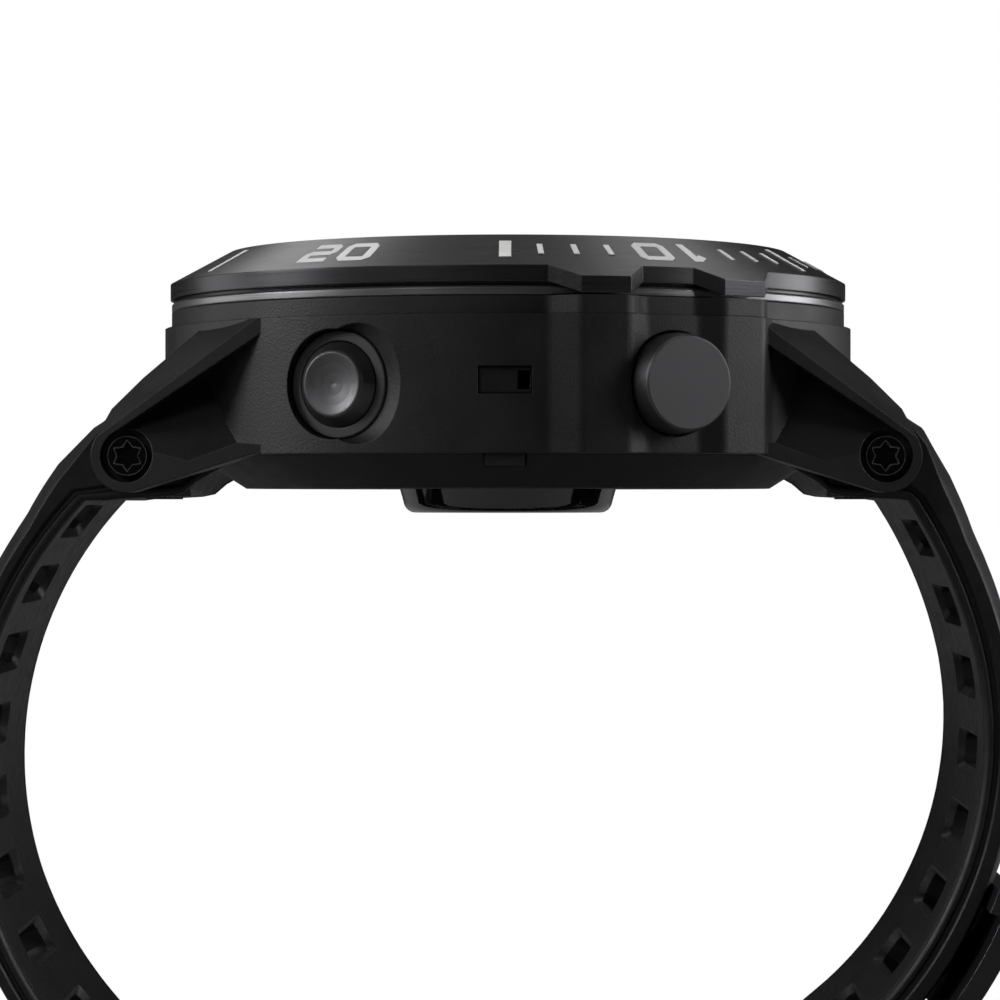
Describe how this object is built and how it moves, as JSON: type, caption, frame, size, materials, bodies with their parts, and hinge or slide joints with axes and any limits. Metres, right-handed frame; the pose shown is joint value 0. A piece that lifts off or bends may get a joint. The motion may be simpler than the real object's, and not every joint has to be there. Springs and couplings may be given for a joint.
{
  "type": "dive computer",
  "caption": "Wrist dive computer with a toothed bezel, side buttons, optical back sensor and a slotted strap buckled into a loop.",
  "frame": {"origin": "centre of the optical sensor window's flat face, where the case rests on the wrist", "axes": "+Z out of the display, +X towards 12 o'clock, -Y towards 3 o'clock (the side with two buttons)"},
  "size_m": [0.079, 0.0527, 0.0772],
  "materials": {
    "case_polymer": "fine grained matte",
    "cover_polymer": "matte",
    "seat_metal": "dark satin coating",
    "bezel_metal": "brushed dark coating",
    "mark_paint": "matte",
    "crystal_glass": "polished",
    "dial_black": "satin",
    "display_gloss": "gloss",
    "inner_plastic": "matte",
    "circuit_board": "satin",
    "battery_foil": "satin",
    "plain_steel": "satin",
    "black_steel": "black satin",
    "button_metal": "dark satin coating",
    "collar_metal": "dark satin coating",
    "buckle_metal": "dark satin coating",
    "gasket_rubber": "matte",
    "sensor_gloss": "polished",
    "contact_gold": "polished",
    "strap_rubber": "matte silicone"
  },
  "bodies": {
    "case": {"back_collar": "collar_metal", "back_cover": "cover_polymer", "back_gasket": "gasket_rubber", "back_screws": "black_steel", "back_spring": "plain_steel", "battery": "battery_foil", "bezel": "bezel_metal", "bezel_marks": "mark_paint", "bezel_seat_ring": "seat_metal", "case_body": "case_polymer", "charge_contacts": "contact_gold", "chassis": "inner_plastic", "crystal": "crystal_glass", "crystal_gasket": "gasket_rubber", "dial_ring": "dial_black", "display_module": "display_gloss", "down_collar": "collar_metal", "down_spring": "plain_steel", "light_collar": "collar_metal", "light_spring": "plain_steel", "lug_bar_12h": "plain_steel", "lug_bar_6h": "plain_steel", "lug_screws": "black_steel", "main_board": "circuit_board", "pressure_sensor": "plain_steel", "sensor_board": "circuit_board", "sensor_gasket": "gasket_rubber", "sensor_port_insert": "case_polymer", "sensor_window": "sensor_gloss", "speaker": "inner_plastic", "start_spring": "plain_steel", "up_collar": "collar_metal", "up_spring": "plain_steel", "upper_band": "case_polymer", "vibration_motor": "plain_steel"},
    "start_key": {"start_button": "button_metal", "start_seal": "gasket_rubber", "start_clip": "plain_steel"},
    "back_key": {"back_button": "button_metal", "back_seal": "gasket_rubber", "back_clip": "plain_steel"},
    "light_key": {"light_button": "button_metal", "light_seal": "gasket_rubber", "light_clip": "plain_steel"},
    "up_key": {"up_button": "button_metal", "up_seal": "gasket_rubber", "up_clip": "plain_steel"},
    "down_key": {"down_button": "button_metal", "down_seal": "gasket_rubber", "down_clip": "plain_steel"},
    "six_half": {"strap_6h": "strap_rubber", "keeper_fixed": "strap_rubber"},
    "twelve_half": {"strap_12h": "strap_rubber"},
    "six_latch": {"latch_6h": "black_steel"},
    "twelve_latch": {"latch_12h": "black_steel"},
    "buckle": {"buckle_frame": "buckle_metal", "buckle_bar": "plain_steel"},
    "tongue": {"buckle_tongue": "buckle_metal"},
    "free_keeper": {"keeper_free": "strap_rubber"}
  },
  "joints": [
    {"name": "start_press", "type": "slide", "parent": "case", "child": "start_key", "axis": [-0.4478, 0.8942, 0], "range_m": [0, 0.00045], "stiffness_N_per_m": 1500, "springref_m": -0.001, "deforming": ["start_spring"]},
    {"name": "back_press", "type": "slide", "parent": "case", "child": "back_key", "axis": [0.4633, 0.8862, 0], "range_m": [0, 0.00045], "stiffness_N_per_m": 1500, "springref_m": -0.001, "deforming": ["back_spring"]},
    {"name": "light_press", "type": "slide", "parent": "case", "child": "light_key", "axis": [-0.4633, -0.8862, 0], "range_m": [0, 0.00045], "stiffness_N_per_m": 1500, "springref_m": -0.001, "deforming": ["light_spring"]},
    {"name": "up_press", "type": "slide", "parent": "case", "child": "up_key", "axis": [0, -1, 0], "range_m": [0, 0.00045], "stiffness_N_per_m": 1500, "springref_m": -0.001, "deforming": ["up_spring"]},
    {"name": "down_press", "type": "slide", "parent": "case", "child": "down_key", "axis": [0.4633, -0.8862, 0], "range_m": [0, 0.00045], "stiffness_N_per_m": 1500, "springref_m": -0.001, "deforming": ["down_spring"]},
    {"name": "six_half_hinge", "type": "hinge", "parent": "case", "child": "six_half", "pos_m": [-0.027, 0, 0.0041], "axis": [0, 1, 0], "range_deg": [-0.15, 0.15]},
    {"name": "twelve_half_hinge", "type": "hinge", "parent": "case", "child": "twelve_half", "pos_m": [0.027, 0, 0.0041], "axis": [0, 1, 0], "range_deg": [-0.15, 0.15]},
    {"name": "six_latch_slide", "type": "slide", "parent": "six_half", "child": "six_latch", "axis": [1, 0, 0], "range_m": [0, 0.0011], "stiffness_N_per_m": 300, "springref_m": -0.001},
    {"name": "twelve_latch_slide", "type": "slide", "parent": "twelve_half", "child": "twelve_latch", "axis": [-1, 0, 0], "range_m": [0, 0.0011], "stiffness_N_per_m": 300, "springref_m": -0.001},
    {"name": "buckle_hinge", "type": "hinge", "parent": "six_half", "child": "buckle", "pos_m": [0.0166, 0, -0.0411], "axis": [0, 1, 0], "range_deg": [0, 40]},
    {"name": "tongue_hinge", "type": "hinge", "parent": "six_half", "child": "tongue", "pos_m": [0.0166, 0, -0.0411], "axis": [0, 1, 0], "range_deg": [-0.3, 0.3]},
    {"name": "free_keeper_slide", "type": "hinge", "parent": "six_half", "child": "free_keeper", "pos_m": [-0.0069, 0, -0.0176], "axis": [0, 1, 0], "range_deg": [-12, 20]}
  ]
}
